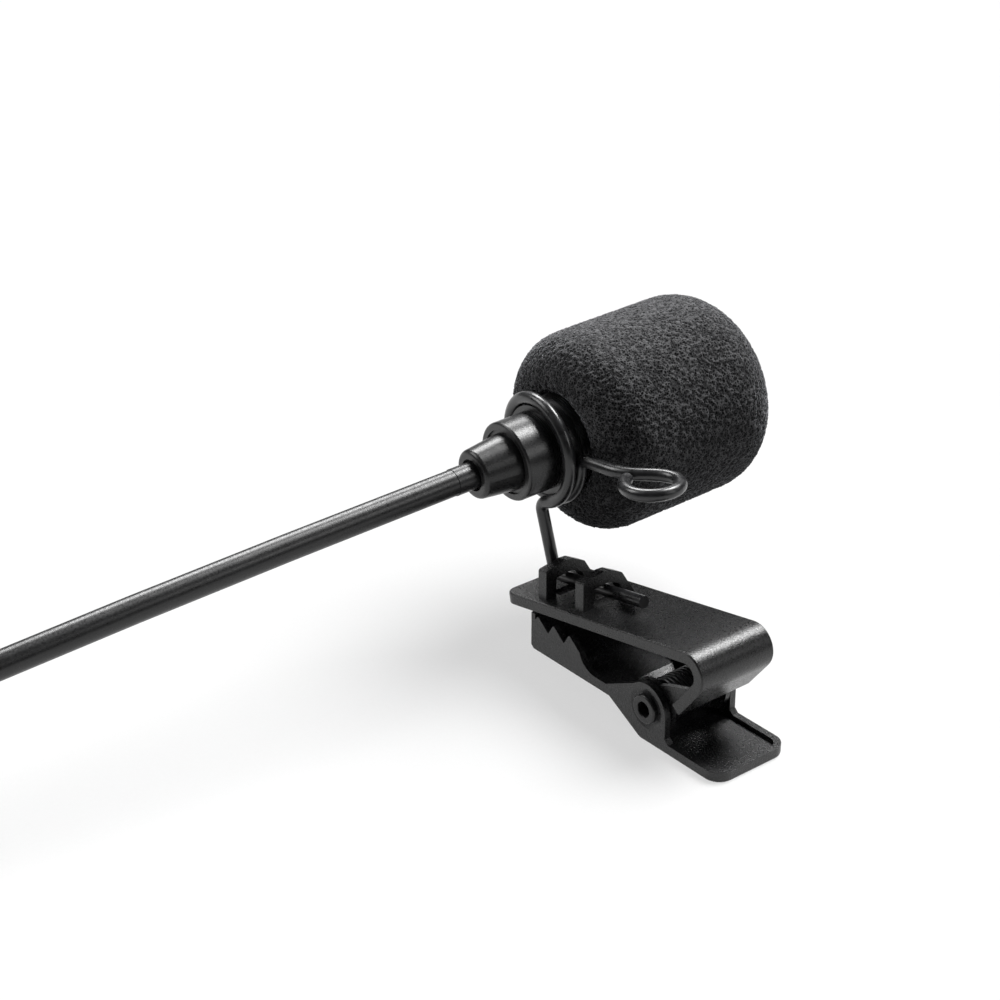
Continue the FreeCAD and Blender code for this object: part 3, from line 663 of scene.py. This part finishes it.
@dataclass
class CableCord:
    """The cable: out of the sleeve, down to the floor, ten wound turns and the plug's lead.

    Its diameter and length are in metres, and its places are in millimetres.
    """

    diameter: float = 2.64 * MM
    length: float = 1.17
    exit_point: Triple = (-21.613, -10.381, 20.627)
    route: tuple[Triple, ...] = (
        (-24.633, -69.996, 17.028),
        (-26.4, -95.0, 10.4),
        (-28.8, -116.5, 4.5),
        (-31.0, -135.0, 2.0),
    )
    coil_entry: Triple = (-31.6, -151.0, 1.72)
    coil_radius: float = 15.5
    turns_wide: int = 3
    turns: float = 10.5
    steps: int = 16
    jog: float = 0.28
    jog_bulge: float = 0.95
    round_steps: int = 6
    lead_steps: tuple[Triple, ...] = (
        (0.0, 10.5, 9.6),
        (-0.7, 20.0, 6.3),
        (-2.2, 28.0, 3.9),
        (-3.6, 34.4, 3.6),
    )
    carried: tuple[str, ...] = (
        "cable_tie", "plug_strain_relief", "plug_barrel", "plug_sleeve", "plug_sleeve_insulator",
        "plug_ring", "plug_ring_insulator", "plug_tip",
    )
    finish: Finish = field(default_factory=lambda: SoftMoulding(
        "cable_jacket", colour=(0.009, 0.009, 0.0095), roughness=0.33, skin=0.2 * MM, relief=0.003 * MM))

    def slot_place(self, turn: int) -> Pair:
        """One turn's place in the bundle, which fills layer by layer, inward and then outward.

        Args:
            turn: which turn, from 0.

        Returns:
            The turn's radius and height.
        """
        layer, step = divmod(turn, self.turns_wide)
        inward = layer % 2 == 0
        column = step if inward else self.turns_wide - 1 - step
        pitch = self.diameter / MM
        radius = self.coil_radius + pitch * ((self.turns_wide - 1) / 2 - column)
        return radius, self.coil_entry[2] + pitch * layer

    def coil_middle(self) -> Pair:
        """The coil's middle, seen from above."""
        return self.coil_entry[0] + self.slot_place(0)[0], self.coil_entry[1]

    def coil_points(self) -> list[Triple]:
        """The wound turns, each a plain circle with a short step to the next one's place.

        Returns:
            The points, from the coil's entry on.
        """
        middle = self.coil_middle()
        points = []
        count = int(self.turns * self.steps)
        jog_start = 1.0 - self.jog
        for step in range(count + 1):
            turn, part = divmod(step / self.steps, 1.0)
            radius, height = self.slot_place(int(turn))
            if part > jog_start and step < count:
                share = (part - jog_start) / self.jog
                share = share * share * (3.0 - 2.0 * share)
                next_radius, next_height = self.slot_place(int(turn) + 1)
                side = math.copysign(self.jog_bulge, radius - self.coil_radius)
                bulge = side * math.sin(math.pi * share) if next_height != height else 0.0
                radius += (next_radius - radius) * share + bulge
                height += (next_height - height) * share
            angle = math.pi + 2.0 * math.pi * step / self.steps
            points.append((middle[0] + radius * math.cos(angle),
                           middle[1] + radius * math.sin(angle), height))
        return points

    def make(self) -> bpy.types.Object:
        """Returns:
            The cord's object.
        """
        coil = self.coil_points()
        middle = self.coil_middle()
        lead = [(middle[0] + self.coil_radius + x, middle[1] + y, z) for x, y, z in self.lead_steps]
        points = [self.exit_point, *self.route, *coil, *lead]
        curve = bpy.data.curves.new("cable_cord", "CURVE")
        curve.dimensions = "3D"
        curve.bevel_depth = self.diameter / 2
        curve.bevel_resolution = self.round_steps
        curve.use_fill_caps = True
        spline = curve.splines.new("NURBS")
        spline.points.add(len(points) - 1)
        for knot, point in zip(spline.points, points):
            knot.co = (*to_metres(point), 1.0)
        spline.order_u = 3
        spline.use_endpoint_u = True
        spline.resolution_u = self.round_steps
        cord = bpy.data.objects.new("cable_cord", curve)
        bpy.context.collection.objects.link(cord)
        curve.materials.append(self.finish.make())
        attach(cord, Body.MICROPHONE.value)
        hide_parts("cable", "cable_coil", "plug_lead")
        LOG.info("cable cord with %d turns", len(coil) // self.steps)
        return cord


# ------------------------------------------------------------------ foam


@dataclass
class Windscreen:
    """Foam windscreen: a thick blind cup with rounded ends and open pores.

    Its shape is in millimetres along and across the microphone's axis; its pores are in metres.
    """

    face: Triple = (-21.3, -4.2, 21.0)
    pitch: float = 3.45
    yaw: float = 2.9
    radius: float = 10.2
    back: float = 6.3
    front: float = 27.8
    back_round: float = 4.2
    front_round: float = 5.6
    mouth: float = 7.2
    mouth_radius: float = 5.2
    bore_radius: float = 4.05
    bore_end: float = 17.6
    voxel: float = 0.12 * MM
    pores: int = 20000
    pore_radius: float = 0.21 * MM
    pore_depth: float = 0.13 * MM
    fuzz: float = 0.022 * MM
    scatter: float = 0.04 * MM
    pore_sizes: Pair = (0.6, 1.25)
    seed: int = 7
    arc_steps: int = 9
    facets: int = 96
    weld: float = 0.001 * MM
    mouth_lip: float = 0.25
    mouth_roll: float = 0.5
    fill: float = 0.9
    finish: Finish = field(default_factory=lambda: OpenCellFoam("charcoal_foam"))

    def outline(self) -> list[Pair]:
        """Half section from the front pole round the outside and back up the bore.

        Returns:
            Radius and distance along the axis of each corner.
        """
        points = [(0.0, self.front)]
        front_flat = self.radius - self.front_round
        back_flat = self.radius - self.back_round
        turns = [math.radians(90.0 * step / self.arc_steps) for step in range(self.arc_steps + 1)]
        for turn in turns:
            points.append((front_flat + self.front_round * math.sin(turn),
                           self.front - self.front_round * (1.0 - math.cos(turn))))
        for turn in turns:
            points.append((back_flat + self.back_round * math.cos(turn),
                           self.back + self.back_round * (1.0 - math.sin(turn))))
        points += [(self.mouth_radius, self.back + self.mouth_lip),
                   (self.mouth_radius - self.mouth_roll, self.mouth),
                   (self.bore_radius, self.mouth + self.mouth_roll),
                   (self.bore_radius, self.bore_end), (0.0, self.bore_end)]
        return points

    def to_place(self) -> Matrix:
        """Turns a shape made round +Y at the origin onto the microphone's axis.

        Returns:
            The matrix.
        """
        yaw = Matrix.Rotation(math.radians(-self.yaw), 4, "Z")
        pitch = Matrix.Rotation(math.radians(self.pitch), 4, "X")
        return Matrix.Translation(Vector(self.face) * MM) @ yaw @ pitch

    def make(self) -> bpy.types.Object:
        """Returns:
            The foam's object.
        """
        foam = self.turned_body()
        self.open_pores(foam)
        foam.data.materials.append(self.finish.make())
        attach(foam, Body.WINDSCREEN.value)
        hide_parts("foam_windscreen")
        LOG.info("foam windscreen with %d faces", len(foam.data.polygons))
        return foam

    def turned_body(self) -> bpy.types.Object:
        """Spins the half section into a closed body and gives it even faces.

        Returns:
            The foam's object.
        """
        bpy.ops.object.select_all(action="DESELECT")
        bpy.ops.mesh.primitive_plane_add(size=MM)
        foam = bpy.context.object
        foam.name = "windscreen_foam"
        mesh = foam.data
        mesh.clear_geometry()
        section = [(x * MM, y * MM, 0.0) for x, y in self.outline()]
        mesh.from_pydata(section, [(i, i + 1) for i in range(len(section) - 1)], [])
        bpy.ops.object.mode_set(mode="EDIT")
        bpy.ops.mesh.select_all(action="SELECT")
        bpy.ops.mesh.spin(steps=self.facets, angle=2.0 * math.pi, center=(0.0, 0.0, 0.0),
                          axis=(0.0, 1.0, 0.0))
        bpy.ops.mesh.select_all(action="SELECT")
        bpy.ops.mesh.remove_doubles(threshold=self.weld)
        bpy.ops.mesh.normals_make_consistent(inside=False)
        bpy.ops.object.mode_set(mode="OBJECT")
        mesh.transform(self.to_place())
        remesh = foam.modifiers.new("even_faces", "REMESH")
        remesh.mode = "VOXEL"
        remesh.voxel_size = self.voxel
        bpy.ops.object.modifier_apply(modifier=remesh.name)
        return foam

    def open_pores(self, foam: bpy.types.Object) -> None:
        """Presses pores of uneven size into the surface and keeps their depth as an attribute.

        Args:
            foam: the even-faced body.
        """
        mesh = foam.data
        count = len(mesh.vertices)
        place = np.empty(count * 3)
        mesh.vertices.foreach_get("co", place)
        place = place.reshape(-1, 3)
        normal = np.empty(count * 3)
        mesh.vertices.foreach_get("normal", normal)
        normal = normal.reshape(-1, 3)
        chance = np.random.default_rng(self.seed)
        centres = place[chance.choice(count, self.pores, replace=False)]
        centres = centres + chance.normal(0.0, self.scatter, centres.shape)
        size = self.pore_radius * chance.uniform(*self.pore_sizes, self.pores)
        tree = KDTree(self.pores)
        for index, centre in enumerate(centres):
            tree.insert(centre, index)
        tree.balance()
        depth = np.zeros(count)
        for index in range(count):
            _, nearest, distance = tree.find(place[index])
            depth[index] = max(0.0, 1.0 - (distance / size[nearest]) ** 2)
        shift = chance.normal(0.0, self.fuzz, count) - depth * self.pore_depth
        mesh.vertices.foreach_set("co", (place + normal * shift[:, None]).ravel())
        layer = mesh.attributes.new(PORE_DEPTH, "FLOAT", "POINT")
        layer.data.foreach_set("value", depth.astype(np.float32))
        mesh.polygons.foreach_set("use_smooth", np.ones(len(mesh.polygons), dtype=bool))
        mesh.update()


# ------------------------------------------------------------------ carried parts


def outfits() -> tuple[Outfit, ...]:
    """Chooses a finish for each carried part.

    Returns:
        Each finish, with the parts that wear it.
    """
    return (
        (GrainedPaint("barrel_coating", roughness=0.32), ("mic_barrel", "mic_head_tube", "grille_cap")),
        (BareMetal("black_nickel", (0.16, 0.16, 0.165), roughness=0.34), ("mic_collar_ring",)),
        (GrainedPaint("plate_coating", colour=(0.006, 0.006, 0.0063), roughness=0.29, grain=0.2 * MM,
                      relief=0.03 * MM, glints=3.5), ("clip_plate",)),
        (GrainedPaint("jaw_coating", roughness=0.31, grain=0.22 * MM, relief=0.05 * MM, glints=3.5),
         ("clip_jaw",)),
        (GrainedPaint("rivet_coating", roughness=0.3), ("pivot_rivet",)),
        (WireLacquer("wire_lacquer"), ("wire_holder",)),
        (WireLacquer("spring_lacquer", roughness=0.3), ("torsion_spring",)),
        (BareMetal("capsule_tin", (0.75, 0.75, 0.76)), ("electret_capsule",)),
        (BareMetal("fine_mesh", (0.16, 0.16, 0.17), roughness=0.4), ("grille_mesh",)),
        (BareMetal("crimp_brass", (0.68, 0.5, 0.22)), ("cable_crimp",)),
        (BareMetal("plated_contact", (0.82, 0.72, 0.5), roughness=0.16),
         ("plug_sleeve", "plug_ring", "plug_tip")),
        (PrintedBoard("solder_mask"), ("capsule_board",)),
        (SoftMoulding("boot_rubber", roughness=0.33),
         ("strain_relief_boot", "cable_sleeve", "plug_strain_relief")),
        (SoftMoulding("stub_jacket", roughness=0.33), ("cable_stub",)),
        (SoftMoulding("gasket_rubber", colour=(0.03, 0.03, 0.03), roughness=0.6), ("capsule_gasket",)),
        (SoftMoulding("signal_insulation", colour=(0.45, 0.03, 0.025), roughness=0.3), ("signal_lead",)),
        (SoftMoulding("ground_insulation", colour=(0.7, 0.7, 0.68), roughness=0.3), ("ground_lead",)),
        (SoftMoulding("contact_insulator", roughness=0.2),
         ("plug_sleeve_insulator", "plug_ring_insulator")),
        (SoftMoulding("plug_grip", roughness=0.45, skin=0.22 * MM, relief=0.012 * MM), ("plug_barrel",)),
        (SoftMoulding("tie_webbing", colour=(0.02, 0.02, 0.02), roughness=0.75, skin=0.3 * MM,
                      relief=0.05 * MM, sheen=0.3), ("cable_tie",)),
    )


@dataclass
class CarriedParts:
    """The clip, the microphone's hard parts and the plug, as packed."""

    outfits: tuple[Outfit, ...] = field(default_factory=outfits)

    def make(self) -> None:
        """Dresses every carried part in its finish."""
        for finish, names in self.outfits:
            material = finish.make()
            for name in names:
                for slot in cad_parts[name].material_slots:
                    slot.material = material
            LOG.info("%s on %s", material.name, ", ".join(names))


def main() -> None:
    """Builds the camera, the cord, the studio, the foam and the finishes in turn."""
    logging.basicConfig(level=logging.INFO, format="%(name)s: %(message)s")
    Camera().make()
    CableCord().make()
    Studio().make()
    Windscreen().make()
    CarriedParts().make()


if __name__ == "__main__":
    main()
